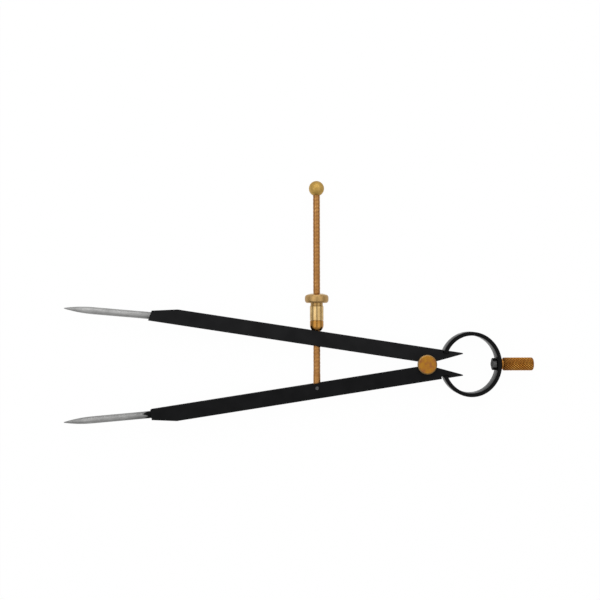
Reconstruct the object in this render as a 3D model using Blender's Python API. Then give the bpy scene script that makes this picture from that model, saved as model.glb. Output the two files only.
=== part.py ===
# Flat-leg spring dividers, lying flat: the points are at -X, the handle is at +X.
# The origin is on the fulcrum's axis, at the back face of the fulcrum stud. +Z is up.
# Everything is in metres, and the tool is the same above and below its middle plane.

import math

import bmesh
import bpy
from mathutils import Matrix, Vector

# Clearances
SEAT_GAP = 0.0003  # between faces that rest on each other
RUNNING_GAP = 0.0001  # on the radius, between a pin and its hole
THREAD_GAP = 0.00015  # on the radius, between thread crests and a bore
FACE_GAP = 0.00015  # between the legs and the heads of the fulcrum stud

# Legs, each measured in its own frame: x along the leg from the fulcrum, y outwards
LEG_ANGLE = math.radians(8.8)  # of each leg to the line of symmetry, at rest
LEG_LENGTH = 0.1178  # fulcrum to the end that holds the point
LEG_WIDTH = 0.0064
LEG_THICKNESS = 0.0050
LEG_INSET = 0.00063  # the inner edge passes this far from the fulcrum's axis
LEG_END_WIDTH = 0.00435
LEG_TAPER_LENGTH = 0.0103  # the outer edge is cut down over this length at the end
UPPER_END_SKEW = 0.0009  # the upper leg's end is askew: its inner corner reaches out this far
TAIL_LENGTH = 0.0143  # the pointed horn behind the fulcrum
TAIL_BLUNT = 0.0004  # the width of the horn's tip
EDGE_BREAK = 0.0002

# Points of ground steel, set into the ends of the legs
POINT_DIAMETER = 0.0030
POINT_REACH = 0.0370  # what stands out of the leg
POINT_TAPER_LENGTH = 0.0122
POINT_SET = 0.0080  # what is pressed into the leg
POINT_CANT = math.radians(3.8)  # the points lean inwards by this much more than the legs
POINT_TIP_RADIUS = 0.0002

# Fulcrum stud, a spool that the legs roll on
STUD_HEAD_DIAMETER = 0.0082
STUD_BACK_DIAMETER = 0.0064  # of the back head
STUD_HEAD_THICKNESS = 0.00125
STUD_WAIST_DIAMETER = 0.0040
STUD_CHAMFER = 0.0005
STUD_CHAMFER_HEIGHT = 0.0003

# Bow spring, an open ring of flat strip
BOW_CENTRE = 0.01877
BOW_LENGTH = 0.02545  # over the outside, along the line of symmetry
BOW_HEIGHT = 0.02746  # over the outside, across it
BOW_THICKNESS = 0.0016
BOW_WIDTH = 0.0070
BOW_EDGE_BREAK = 0.00015
NOTCH_DEPTH = 0.00105  # in the legs' outer edges, for the ends of the bow
UPPER_NOTCH_ROOM = 0.0002  # between the strip and the notch, on the side of the points
LOWER_NOTCH_ROOM = 0.00095
NOTCH_ROOM_BEHIND = 0.00025  # on the side of the handle

# Handle, with the stud and nut that hold it to the bow
HANDLE_LENGTH = 0.0136
HANDLE_DIAMETER = 0.00565
HANDLE_NECK_DIAMETER = 0.0046
HANDLE_NECK_LENGTH = 0.0006
HANDLE_CHAMFER = 0.0003
HANDLE_CAP_LENGTH = 0.0015
HANDLE_GROOVE_DEPTH = 0.0002
HANDLE_BORE_DEPTH = 0.0065
KNURL_DEPTH = 0.00018
KNURL_CRESTS = 18  # round the handle
KNURL_PITCH = 0.0011  # along it
HANDLE_STUD_DIAMETER = 0.00240
HANDLE_STUD_TAIL = 0.00085  # stands out of the nut
NUT_ACROSS_FLATS = 0.0050
NUT_HEIGHT = 0.0016
NUT_CHAMFER_ANGLE = math.radians(30)

# Adjusting screw, hung on a cross pin in the lower leg and passing through the upper one
SCREW_STATION = 0.04635  # from the fulcrum, along the line of symmetry
SCREW_DIAMETER = 0.00296
SCREW_LENGTH = 0.0813  # from the cross pin to the ball
SHANK_DIAMETER = 0.0030
SHANK_LENGTH = 0.0064
SPIGOT_DIAMETER = 0.0020
SPIGOT_LENGTH = 0.0030
BALL_DIAMETER = 0.00645
PIN_DIAMETER = 0.0016
PIN_INSET = 0.0020  # from the lower leg's inner edge
SLOT_WIDTH = 0.0034  # of the mortises that the screw works in

# How far the joints go, which sets the length of the mortises
OPEN_SWING = math.radians(15.0)  # of each leg, from rest
SCREW_FOLLOW = 0.15  # the screw leans by this share of a leg's swing

# Adjusting nut and the round-nosed washer under it
NUT_BARREL_DIAMETER = 0.0058
NUT_BARREL_LENGTH = 0.0072
NUT_NECK_DIAMETER = 0.0045
NUT_NECK_LENGTH = 0.0006
NUT_FLANGE_DIAMETER = 0.01010
NUT_FLANGE_LENGTH = 0.0040
NUT_CROWN_DIAMETER = 0.0056
NUT_CROWN_HEIGHT = 0.00075
NUT_RIM_BULGE = 0.0003
WASHER_SKIRT = 0.0020
WASHER_SEAT_DEPTH = 0.0004  # how far its seat is sunk into the edge of the upper leg
SEAT_SLIP_INWARD = 0.0008  # how far the washer may slide along its seat
SEAT_SLIP_OUTWARD = 0.0002

# Facets
SEGMENTS = 32
BALL_RINGS = 16
BOW_STEPS = 72
ARC_STEPS = 10

# Places worked out from the sizes above
MIDDLE = LEG_THICKNESS / 2 + FACE_GAP + STUD_HEAD_THICKNESS
LEG_OUTER = LEG_INSET + LEG_WIDTH
SLOT_SCREW_RADIUS = max(SCREW_DIAMETER, SHANK_DIAMETER) / 2


def to_leg(x, y):
    """A point beside the line of symmetry, in the frame of the leg on its own side."""
    cos, sin = math.cos(LEG_ANGLE), math.sin(LEG_ANGLE)
    return x * cos - y * sin, x * sin + y * cos


def across_at(x, leg_y):
    """How far from the line of symmetry a leg's own height leg_y lies at x."""
    return (leg_y - x * math.sin(LEG_ANGLE)) / math.cos(LEG_ANGLE)


def remove_everything():
    for thing in list(bpy.data.objects):
        bpy.data.objects.remove(thing, do_unlink=True)


def finish(name, colour, metallic, roughness):
    """A plain material in one colour."""
    material = bpy.data.materials.new(name)
    material.use_nodes = True
    shader = material.node_tree.nodes["Principled BSDF"]
    shader.inputs["Base Color"].default_value = (*colour, 1.0)
    shader.inputs["Metallic"].default_value = metallic
    shader.inputs["Roughness"].default_value = roughness
    material.diffuse_color = (*colour, 1.0)
    return material


def add_object(name, bm, material, parent=None):
    """Turn a bmesh into an object with outward faces."""
    bmesh.ops.recalc_face_normals(bm, faces=bm.faces)
    mesh = bpy.data.meshes.new(name)
    bm.to_mesh(mesh)
    bm.free()
    if material:
        mesh.materials.append(material)
        mesh.shade_smooth()
        mesh.set_sharp_from_angle(angle=math.radians(30))
    thing = bpy.data.objects.new(name, mesh)
    bpy.context.collection.objects.link(thing)
    thing.parent = parent
    return thing


def turned(name, profile, material=None, parent=None, closed=False, segments=SEGMENTS):
    """A piece turned about its local Z axis. The profile is a list of (radius, height).

    A solid piece starts and ends on the axis. A bored piece has a closed profile.
    """
    bm = bmesh.new()
    line = [bm.verts.new((radius, 0, height)) for radius, height in profile]
    edges = [bm.edges.new(pair) for pair in zip(line, line[1:])]
    if closed:
        edges.append(bm.edges.new((line[-1], line[0])))
    bmesh.ops.spin(
        bm, geom=line + edges, axis=(0, 0, 1), cent=(0, 0, 0), angle=2 * math.pi, steps=segments
    )
    bmesh.ops.remove_doubles(bm, verts=bm.verts, dist=1e-6)
    return add_object(name, bm, material, parent)


def prism(name, outline, height, material=None, parent=None, edge_break=0):
    """An outline in the XY plane, given half of its height to each side of it."""
    bm = bmesh.new()
    base = bm.faces.new([bm.verts.new((x, y, -height / 2)) for x, y in outline])
    grown = bmesh.ops.extrude_face_region(bm, geom=[base])["geom"]
    raised = [v for v in grown if isinstance(v, bmesh.types.BMVert)]
    bmesh.ops.translate(bm, verts=raised, vec=(0, 0, height))
    if edge_break:
        rims = [e for e in bm.edges if abs(e.verts[0].co.z - e.verts[1].co.z) < height / 2]
        bmesh.ops.bevel(bm, geom=rims, offset=edge_break, segments=1, affect="EDGES")
    return add_object(name, bm, material, parent)


def arc(centre, radius, start, end, steps=ARC_STEPS):
    """Points on an arc, from one angle to another."""
    angles = [start + (end - start) * i / steps for i in range(steps + 1)]
    return [
        (centre[0] + radius * math.cos(a), centre[1] + radius * math.sin(a)) for a in angles
    ]


def cut(target, cutter, operation="DIFFERENCE"):
    """Let the cutter shape the target, and keep the cutter as a hidden guide."""
    modifier = target.modifiers.new(cutter.name, "BOOLEAN")
    modifier.operation = operation
    modifier.solver = "EXACT"
    modifier.object = cutter
    cutter.hide_render = True
    cutter.display_type = "WIRE"


def rod_cutter(name, diameter, length, parent=None):
    """A plain cylinder about its local Z axis, centred on its own origin."""
    radius = diameter / 2
    profile = [(0, -length / 2), (radius, -length / 2), (radius, length / 2), (0, length / 2)]
    return turned(name, profile, parent=parent)


def bow_point(angle, offset=0):
    """A point on the bow's strip, offset outwards from the middle of its thickness.

    The angle is 0 at the handle and half a turn at the open side, where the legs are.
    """
    half_length = (BOW_LENGTH - BOW_THICKNESS) / 2
    half_height = (BOW_HEIGHT - BOW_THICKNESS) / 2
    x, y = half_length * math.cos(angle), half_height * math.sin(angle)
    normal = Vector((x / half_length**2, y / half_height**2)).normalized()
    return BOW_CENTRE + x + offset * normal.x, y + offset * normal.y


def bow_angle_at(leg_y):
    """The angle at which the bow's strip reaches a height in the upper leg's own frame."""
    along = (BOW_LENGTH - BOW_THICKNESS) / 2 * math.sin(LEG_ANGLE)
    across = (BOW_HEIGHT - BOW_THICKNESS) / 2 * math.cos(LEG_ANGLE)
    lift = leg_y - BOW_CENTRE * math.sin(LEG_ANGLE)
    return math.pi - math.atan2(along, across) - math.asin(lift / math.hypot(along, across))


def leg_outline(side):
    """The outline of a leg in its own frame, with the notches for the stud and the bow."""
    skew = UPPER_END_SKEW if side > 0 else 0
    room_ahead = UPPER_NOTCH_ROOM if side > 0 else LOWER_NOTCH_ROOM
    roll = STUD_WAIST_DIAMETER / 2 + RUNNING_GAP
    slope = LEG_WIDTH / TAIL_LENGTH
    horn_base = LEG_INSET - TAIL_BLUNT
    under_root = roll**2 * (1 + slope**2) - horn_base**2
    tail_x = (math.sqrt(under_root) - slope * horn_base) / (1 + slope**2)
    tail_y = horn_base + slope * tail_x
    start = math.pi - math.asin(LEG_INSET / roll)
    saddle = arc((0, 0), roll, start, math.atan2(tail_y, tail_x))
    strip = bow_point(bow_angle_at(LEG_OUTER - NOTCH_DEPTH / 2))
    strip_x = to_leg(*strip)[0]
    notch_back = strip_x + BOW_THICKNESS / 2 + NOTCH_ROOM_BEHIND
    notch_front = strip_x - BOW_THICKNESS / 2 - room_ahead
    floor = LEG_OUTER - NOTCH_DEPTH
    points = [
        (-LEG_LENGTH - skew, LEG_INSET),
        *saddle,
        (TAIL_LENGTH, LEG_OUTER - TAIL_BLUNT),
        (TAIL_LENGTH, LEG_OUTER),
        (notch_back, LEG_OUTER),
        (notch_back, floor),
        (notch_front, floor),
        (notch_front, LEG_OUTER),
        (LEG_TAPER_LENGTH - LEG_LENGTH, LEG_OUTER),
        (-LEG_LENGTH, LEG_INSET + LEG_END_WIDTH),
    ]
    return [(x, side * y) for x, y in points]


def make_leg(name, side, material):
    """A flat leg that turns about the fulcrum. side is 1 for the upper leg, -1 for the lower."""
    leg = prism(name, leg_outline(side), LEG_THICKNESS, material, edge_break=EDGE_BREAK)
    leg.location = (0, 0, MIDDLE)
    leg.rotation_euler = (0, 0, -side * LEG_ANGLE)
    return leg


def point_frame(side):
    """Where a point leaves its leg, in the leg's frame, with local Z towards the tip."""
    root = Vector((-LEG_LENGTH, side * (LEG_INSET + LEG_END_WIDTH / 2), 0))
    turn = Matrix.Rotation(side * POINT_CANT, 4, "Z") @ Matrix.Rotation(-math.pi / 2, 4, "Y")
    return Matrix.Translation(root) @ turn


def make_point(name, side, leg, material):
    """A round needle with an ogive taper, in a blind socket that it also cuts in the leg."""
    radius = POINT_DIAMETER / 2
    shoulder = POINT_REACH - POINT_TAPER_LENGTH
    tip = POINT_TIP_RADIUS
    ogive = []
    for i in range(ARC_STEPS + 1):
        share = i / ARC_STEPS
        ogive.append(
            (tip + (radius - tip) * (1 - share**2), shoulder + (POINT_TAPER_LENGTH - tip) * share)
        )
    ball = arc((0, POINT_REACH - tip), tip, 0, math.pi / 2, steps=3)[1:-1]
    butt = [(0, -POINT_SET), (radius - EDGE_BREAK, -POINT_SET), (radius, EDGE_BREAK - POINT_SET)]
    point = turned(name, [*butt, *ogive, *ball, (0, POINT_REACH)], material, leg)
    point.matrix_local = point_frame(side)
    depth = POINT_SET + SEAT_GAP
    socket = rod_cutter(name + "_socket", POINT_DIAMETER + 2 * RUNNING_GAP, 2 * depth, leg)
    socket.matrix_local = point_frame(side)
    cut(leg, socket)
    return point


def make_fulcrum_stud(material):
    """A turned spool: a chamfered head, the waist that the legs roll on, and a smaller back head."""
    head, waist = STUD_HEAD_DIAMETER / 2, STUD_WAIST_DIAMETER / 2
    back = STUD_BACK_DIAMETER / 2
    top = 2 * MIDDLE
    return turned(
        "fulcrum_stud",
        [
            (0, 0),
            (back - STUD_CHAMFER, 0),
            (back, STUD_CHAMFER_HEIGHT),
            (back, STUD_HEAD_THICKNESS),
            (waist, STUD_HEAD_THICKNESS),
            (waist, top - STUD_HEAD_THICKNESS),
            (head, top - STUD_HEAD_THICKNESS),
            (head, top - STUD_CHAMFER_HEIGHT),
            (head - STUD_CHAMFER, top),
            (0, top),
        ],
        material,
        segments=2 * SEGMENTS,
    )


def make_bow_spring(material):
    """An open ring of flat strip, whose ends sit in the notches of the legs."""
    end = bow_angle_at(LEG_OUTER - NOTCH_DEPTH + SEAT_GAP)
    angles = [-end + 2 * end * i / BOW_STEPS for i in range(BOW_STEPS + 1)]
    outside = [bow_point(a, BOW_THICKNESS / 2) for a in angles]
    inside = [bow_point(a, -BOW_THICKNESS / 2) for a in reversed(angles)]
    bow = prism(
        "bow_spring", outside + inside, BOW_WIDTH, material, edge_break=BOW_EDGE_BREAK
    )
    bow.location = (0, 0, MIDDLE)
    hole = rod_cutter("bow_hole", HANDLE_STUD_DIAMETER + 2 * THREAD_GAP, 4 * BOW_THICKNESS)
    hole.rotation_euler = (0, math.pi / 2, 0)
    hole.location = (bow_point(0)[0], 0, MIDDLE)
    cut(bow, hole)
    return bow


def knurled_bar(name, before, band, after, material):
    """A turned bar with a diamond knurl between two plain profiles of (radius, height).

    The band is (radius, start, end). Crests and roots take turns along each row, and
    every row is half a crest round from the one before it.
    """
    radius, start, end = band
    around = 2 * KNURL_CRESTS
    rows = 2 * round((end - start) / KNURL_PITCH)
    bm = bmesh.new()

    def ring(height, radii):
        points = []
        for i, r in enumerate(radii):
            turn = 2 * math.pi * i / around
            points.append(bm.verts.new((r * math.cos(turn), r * math.sin(turn), height)))
        return points

    def plain(profile):
        return [ring(height, [r] * around) for r, height in profile]

    knurl = []
    for row in range(rows + 1):
        radii = [radius - KNURL_DEPTH * ((i + row) % 2) for i in range(around)]
        knurl.append(ring(start + (end - start) * row / rows, radii))
    rings = plain(before) + knurl + plain(after)
    first_row = len(before)
    for j, (low, high) in enumerate(zip(rings, rings[1:])):
        for i in range(around):
            k = (i + 1) % around
            if (i + j - first_row) % 2 == 0:
                corners = (low[i], low[k], high[i]), (low[k], high[k], high[i])
            else:
                corners = (low[i], low[k], high[k]), (low[i], high[k], high[i])
            for three in corners:
                bm.faces.new(three)
    bm.faces.new(list(reversed(rings[0])))
    bm.faces.new(rings[-1])
    return add_object(name, bm, material)


def make_handle(material):
    """The knurled brass handle, bored for its stud, with its neck against the bow."""
    full, neck = HANDLE_DIAMETER / 2, HANDLE_NECK_DIAMETER / 2
    root = full - KNURL_DEPTH
    cap = HANDLE_LENGTH - HANDLE_CAP_LENGTH
    handle = knurled_bar(
        "handle",
        [
            (neck, 0),
            (neck, HANDLE_NECK_LENGTH),
            (root, HANDLE_NECK_LENGTH + HANDLE_CHAMFER),
        ],
        (full, HANDLE_NECK_LENGTH + 2 * HANDLE_CHAMFER, cap - HANDLE_CHAMFER),
        [
            (full - HANDLE_GROOVE_DEPTH - KNURL_DEPTH / 2, cap),
            (full - KNURL_DEPTH / 2, cap + HANDLE_CHAMFER / 2),
            (full - KNURL_DEPTH / 2, HANDLE_LENGTH - 2 * HANDLE_CHAMFER),
            (full - HANDLE_CHAMFER, HANDLE_LENGTH - HANDLE_CHAMFER),
            (full - 3 * HANDLE_CHAMFER, HANDLE_LENGTH),
        ],
        material,
    )
    handle.rotation_euler = (0, math.pi / 2, 0)
    handle.location = (handle_start(), 0, MIDDLE)
    bore = rod_cutter(
        "handle_bore", HANDLE_STUD_DIAMETER + 2 * THREAD_GAP, 2 * HANDLE_BORE_DEPTH
    )
    bore.rotation_euler = handle.rotation_euler
    bore.location = handle.location
    cut(handle, bore)
    return handle


def handle_start():
    """Where the neck of the handle stops, just clear of the bow."""
    return bow_point(0, BOW_THICKNESS / 2)[0] + SEAT_GAP


def nut_face():
    """Where the nut's face stops inside the bow, whose curve its flats would meet first."""
    half_height = BOW_HEIGHT / 2 - BOW_THICKNESS
    rise = NUT_ACROSS_FLATS / 2 / half_height
    half_length = BOW_LENGTH / 2 - BOW_THICKNESS
    return BOW_CENTRE + half_length * math.sqrt(1 - rise**2) - RUNNING_GAP


def make_handle_stud(material):
    """The threaded stud that joins the handle to the bow."""
    radius = HANDLE_STUD_DIAMETER / 2
    start = nut_face() - NUT_HEIGHT - HANDLE_STUD_TAIL
    length = handle_start() + HANDLE_BORE_DEPTH - SEAT_GAP - start
    stud = turned(
        "handle_stud",
        [
            (0, 0),
            (radius - EDGE_BREAK, 0),
            (radius, EDGE_BREAK),
            (radius, length - EDGE_BREAK),
            (radius - EDGE_BREAK, length),
            (0, length),
        ],
        material,
    )
    stud.rotation_euler = (0, math.pi / 2, 0)
    stud.location = (start, 0, MIDDLE)
    return stud


def make_handle_nut(material):
    """A hexagon nut with chamfered corners, flats to the sides, inside the bow."""
    corner = NUT_ACROSS_FLATS / math.sqrt(3)
    outline = arc((0, 0), corner, 0, 5 * math.pi / 3, steps=5)
    nut = prism("handle_nut", outline, NUT_HEIGHT, material)
    nut.rotation_euler = (0, math.pi / 2, 0)
    nut.location = (nut_face() - NUT_HEIGHT / 2, 0, MIDDLE)
    half = NUT_HEIGHT / 2
    face = NUT_ACROSS_FLATS / 2 - RUNNING_GAP
    rim = corner + EDGE_BREAK
    drop = (rim - face) * math.tan(NUT_CHAMFER_ANGLE)
    lens = turned(
        "nut_chamfer",
        [(0, -half), (face, -half), (rim, drop - half), (rim, half - drop), (face, half), (0, half)],
        parent=nut,
    )
    cut(nut, lens, "INTERSECT")
    bore = rod_cutter("nut_bore", HANDLE_STUD_DIAMETER + 2 * RUNNING_GAP, 2 * NUT_HEIGHT, nut)
    cut(nut, bore)
    return nut


def pin_height():
    """How far the cross pin lies from the line of symmetry, towards -Y."""
    return across_at(-SCREW_STATION, LEG_INSET + PIN_INSET)


def seat_radius():
    return NUT_BARREL_DIAMETER / 2 + SEAT_GAP


def seat_rise():
    """How far the middle of the washer's round nose lies outside the upper leg's edge."""
    return math.sqrt(seat_radius() ** 2 - (SLOT_WIDTH / 2) ** 2) - WASHER_SEAT_DEPTH


def nose_height():
    """How far the middle of the washer's nose lies from the line of symmetry."""
    return across_at(-SCREW_STATION, LEG_OUTER + seat_rise())


def make_adjusting_screw(material):
    """The screw, with a plain shank that ends in an eye for the cross pin."""
    eye, shank, thread = SHANK_DIAMETER / 2, SHANK_DIAMETER / 2, SCREW_DIAMETER / 2
    spigot = SPIGOT_DIAMETER / 2
    nose = [(eye * math.sin(a), -eye * math.cos(a)) for a in quarter_turn()]
    screw = turned(
        "adjusting_screw",
        [
            *nose,
            (shank, SHANK_LENGTH - EDGE_BREAK),
            (shank - EDGE_BREAK, SHANK_LENGTH),
            (thread, SHANK_LENGTH + EDGE_BREAK),
            (thread, SCREW_LENGTH - EDGE_BREAK),
            (thread - EDGE_BREAK, SCREW_LENGTH),
            (spigot, SCREW_LENGTH),
            (spigot, SCREW_LENGTH + SPIGOT_LENGTH),
            (0, SCREW_LENGTH + SPIGOT_LENGTH),
        ],
        material,
    )
    screw.rotation_euler = (-math.pi / 2, 0, 0)
    screw.location = (-SCREW_STATION, -pin_height(), MIDDLE)
    hole = rod_cutter("eye_hole", PIN_DIAMETER + 2 * RUNNING_GAP, 2 * SHANK_DIAMETER)
    hole.location = screw.location
    cut(screw, hole)
    return screw


def quarter_turn(steps=ARC_STEPS):
    """Angles from nothing to a right angle."""
    return [math.pi / 2 * i / steps for i in range(steps + 1)]


def make_screw_ball(screw, material):
    """The ball on the end of the screw, with a flat and a blind hole for the spigot."""
    radius = BALL_DIAMETER / 2
    hole = SPIGOT_DIAMETER / 2 + RUNNING_GAP
    flat = SCREW_DIAMETER / 2
    sink = math.sqrt(radius**2 - flat**2)
    depth = SPIGOT_LENGTH + SEAT_GAP
    start = math.pi - math.asin(flat / radius)
    angles = [start - start * i / BALL_RINGS for i in range(BALL_RINGS + 1)]
    shell = [(radius * math.sin(a), radius * math.cos(a)) for a in angles]
    shell[-1] = (0, radius)
    ball = turned(
        "screw_ball",
        [(0, depth - sink), (hole, depth - sink), (hole, -sink), *shell],
        material,
        screw,
    )
    ball.location = (0, 0, SCREW_LENGTH + RUNNING_GAP + sink)
    return ball


def make_cross_pin(leg, material):
    """The pin through the cheeks of the lower leg, on which the screw swings."""
    radius, half = PIN_DIAMETER / 2, LEG_THICKNESS / 2
    pin = turned(
        "cross_pin",
        [
            (0, -half),
            (radius - RUNNING_GAP, -half),
            (radius, RUNNING_GAP - half),
            (radius, half - RUNNING_GAP),
            (radius - RUNNING_GAP, half),
            (0, half),
        ],
        material,
        leg,
    )
    x, y = to_leg(-SCREW_STATION, pin_height())
    pin.location = (x, -y, 0)
    hole = rod_cutter("pin_hole", PIN_DIAMETER + 2 * RUNNING_GAP, 2 * LEG_THICKNESS, leg)
    hole.location = pin.location
    cut(leg, hole)
    return pin


def cut_lower_mortise(leg):
    """The blind slot in the lower leg's inner edge, in which the eye of the screw swings."""
    x, y = to_leg(-SCREW_STATION, pin_height())
    lean = LEG_ANGLE + OPEN_SWING * (1 + SCREW_FOLLOW)
    room = SLOT_SCREW_RADIUS + SEAT_GAP
    front = SLOT_SCREW_RADIUS / math.cos(lean) + SEAT_GAP
    mouth = LEG_INSET - LEG_THICKNESS
    outline = [
        (x - room, mouth),
        (x + front + (y - mouth) * math.tan(lean), mouth),
        (x + front, y),
        (x + room, y + room),
        (x - room, y + room),
    ]
    slot = prism("lower_mortise", [(px, -py) for px, py in outline], SLOT_WIDTH, parent=leg)
    cut(leg, slot)


def cut_upper_mortise(leg):
    """The slot right through the upper leg, and the round seat for the washer over it."""
    x, y = to_leg(-SCREW_STATION, nose_height())
    lean = LEG_ANGLE + OPEN_SWING * (1 - SCREW_FOLLOW)
    room = SLOT_SCREW_RADIUS + SEAT_GAP
    front = SLOT_SCREW_RADIUS / math.cos(lean) + SEAT_GAP + SEAT_SLIP_INWARD / 2
    top, bottom = y, LEG_INSET - LEG_THICKNESS
    outline = [
        (x - room, bottom),
        (x + front + (y - bottom) * math.tan(lean), bottom),
        (x + front, top),
        (x - room, top),
    ]
    slot = prism("upper_mortise", outline, SLOT_WIDTH, parent=leg)
    cut(leg, slot)
    radius = seat_radius()
    low, high = -SEAT_SLIP_OUTWARD, SEAT_SLIP_INWARD
    near = [(radius * math.sin(a), low - radius * math.cos(a)) for a in quarter_turn()]
    far = [(radius * math.cos(a), high + radius * math.sin(a)) for a in quarter_turn()]
    far[-1] = (0, high + radius)
    seat = turned("washer_seat", near + far, parent=leg)
    seat.rotation_euler = (0, math.pi / 2, 0)
    seat.location = (x, y, 0)
    cut(leg, seat)


def make_ball_washer(material):
    """The washer under the nut, whose round nose rocks in the seat of the upper leg."""
    radius = NUT_BARREL_DIAMETER / 2
    bore = SCREW_DIAMETER / 2 + THREAD_GAP
    start = math.asin(bore / radius)
    angles = [start + (math.pi / 2 - start) * i / ARC_STEPS for i in range(ARC_STEPS + 1)]
    nose = [(radius * math.sin(a), -radius * math.cos(a)) for a in angles]
    washer = turned(
        "ball_washer",
        [*nose, (radius, WASHER_SKIRT), (bore, WASHER_SKIRT)],
        material,
        closed=True,
    )
    washer.rotation_euler = (-math.pi / 2, 0, 0)
    washer.location = (-SCREW_STATION, nose_height(), MIDDLE)
    return washer


def make_adjusting_nut(material):
    """The nut: a long barrel, an undercut neck and a flange with a barrelled rim."""
    barrel, neck = NUT_BARREL_DIAMETER / 2, NUT_NECK_DIAMETER / 2
    flange, crown = NUT_FLANGE_DIAMETER / 2, NUT_CROWN_DIAMETER / 2
    bore = SCREW_DIAMETER / 2 + THREAD_GAP
    foot = NUT_BARREL_LENGTH
    rim_start = foot + NUT_RIM_BULGE
    rim_end = foot + NUT_FLANGE_LENGTH - NUT_CROWN_HEIGHT
    rim = []
    for i in range(ARC_STEPS // 2 + 1):
        share = 2 * i / (ARC_STEPS // 2) - 1
        height = rim_start + (rim_end - rim_start) * (share + 1) / 2
        rim.append((flange - NUT_RIM_BULGE * share**2, height))
    nut = turned(
        "adjusting_nut",
        [
            (bore, 0),
            (barrel - EDGE_BREAK, 0),
            (barrel, EDGE_BREAK),
            (barrel, foot - NUT_NECK_LENGTH - EDGE_BREAK),
            (neck, foot - NUT_NECK_LENGTH),
            (neck, foot),
            (flange - 2 * NUT_RIM_BULGE, foot),
            *rim,
            (crown, foot + NUT_FLANGE_LENGTH),
            (bore, foot + NUT_FLANGE_LENGTH),
        ],
        material,
        closed=True,
        segments=3 * SEGMENTS // 2,
    )
    nut.rotation_euler = (-math.pi / 2, 0, 0)
    start = nose_height() + WASHER_SKIRT + THREAD_GAP
    nut.location = (-SCREW_STATION, start, MIDDLE)
    return nut


def build():
    remove_everything()
    black = finish("black_steel", (0.012, 0.012, 0.013), 0.0, 0.45)
    spring_black = finish("black_spring_steel", (0.010, 0.010, 0.011), 0.0, 0.35)
    bright = finish("ground_steel", (0.42, 0.42, 0.42), 1.0, 0.30)
    brass = finish("brass", (0.58, 0.36, 0.09), 1.0, 0.30)
    bronze = finish("dark_brass", (0.40, 0.17, 0.04), 1.0, 0.38)

    upper = make_leg("leg_upper", 1, black)
    lower = make_leg("leg_lower", -1, black)
    make_point("point_upper", 1, upper, bright)
    make_point("point_lower", -1, lower, bright)
    cut_upper_mortise(upper)
    cut_lower_mortise(lower)
    make_cross_pin(lower, bright)
    make_fulcrum_stud(brass)
    make_bow_spring(spring_black)
    make_handle(bronze)
    make_handle_stud(black)
    make_handle_nut(black)
    screw = make_adjusting_screw(bronze)
    make_screw_ball(screw, brass)
    make_ball_washer(bronze)
    make_adjusting_nut(brass)


build()
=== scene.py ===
# %% [markdown]
# # A pair of flat-leg spring dividers
# Dividers are a marking-out tool. Two flat legs with sharp steel points roll on a brass stud. An
# open ring of spring steel pulls them together behind the stud, and a long brass screw with a nut
# sets how far the points stand apart. The tool lies flat on a white table and the camera looks
# down on it.
#
# The CAD model already has every solid in its true place, so this script loads it as a fixed
# frame and dresses it. The legs, the needles, the pin and the hexagon nut keep their shape and get
# a real finish. The turned pieces and the bow are replaced by finer ones, such as the screw with
# its thread, the handle with its knurl, and the bow as two halves.

# %% Load the CAD model
import math

import bpy
import numpy as np
from mathutils import Matrix, Vector


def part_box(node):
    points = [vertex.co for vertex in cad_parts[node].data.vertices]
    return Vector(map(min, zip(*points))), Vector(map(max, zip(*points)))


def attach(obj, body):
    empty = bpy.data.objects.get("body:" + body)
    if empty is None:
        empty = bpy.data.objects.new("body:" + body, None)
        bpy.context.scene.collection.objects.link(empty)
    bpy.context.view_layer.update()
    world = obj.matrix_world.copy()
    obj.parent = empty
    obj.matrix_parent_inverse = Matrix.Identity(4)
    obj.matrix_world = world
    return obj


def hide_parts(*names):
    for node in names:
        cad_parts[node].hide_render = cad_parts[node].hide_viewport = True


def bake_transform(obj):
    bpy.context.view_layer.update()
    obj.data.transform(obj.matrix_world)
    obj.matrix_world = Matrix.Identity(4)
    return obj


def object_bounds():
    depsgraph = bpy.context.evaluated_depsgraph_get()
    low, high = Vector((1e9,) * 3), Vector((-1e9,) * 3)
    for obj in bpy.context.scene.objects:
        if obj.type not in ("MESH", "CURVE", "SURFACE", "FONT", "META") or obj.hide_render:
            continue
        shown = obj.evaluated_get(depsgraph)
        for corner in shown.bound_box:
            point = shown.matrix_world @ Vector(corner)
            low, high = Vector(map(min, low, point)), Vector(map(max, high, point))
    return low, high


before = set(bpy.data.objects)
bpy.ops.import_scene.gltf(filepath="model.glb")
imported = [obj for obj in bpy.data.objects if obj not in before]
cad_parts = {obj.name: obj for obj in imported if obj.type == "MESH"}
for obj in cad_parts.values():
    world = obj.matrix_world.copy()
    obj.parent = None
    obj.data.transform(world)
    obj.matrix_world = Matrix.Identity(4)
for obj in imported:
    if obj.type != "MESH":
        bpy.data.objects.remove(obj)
cad_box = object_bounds()
MM = 0.001

# %% [markdown]
# ## Where things are
# Measures come from the CAD model itself. Each node's box gives the axis that its new piece is
# turned about and the length that it has to fill, so a finer piece lands exactly where its plain
# one was.


# %% Measure the CAD nodes
def middle_of(node):
    """The middle of a CAD node's box."""
    low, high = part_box(node)
    return (low + high) / 2


PLANE = middle_of("fulcrum_stud").z
SCREW_X = middle_of("adjusting_screw").x
PIN_Y = middle_of("cross_pin").y
BALL_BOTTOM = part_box("screw_ball")[0].y
NUT_START, NUT_END = (corner.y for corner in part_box("adjusting_nut"))
HANDLE_START, HANDLE_END = (corner.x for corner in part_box("handle"))
STUD_START, STUD_END = (corner.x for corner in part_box("handle_stud"))
BOW_LOW, BOW_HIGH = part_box("bow_spring")
print(f"middle plane {PLANE / MM:.2f} mm up, screw at x {SCREW_X / MM:.2f} mm")

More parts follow.
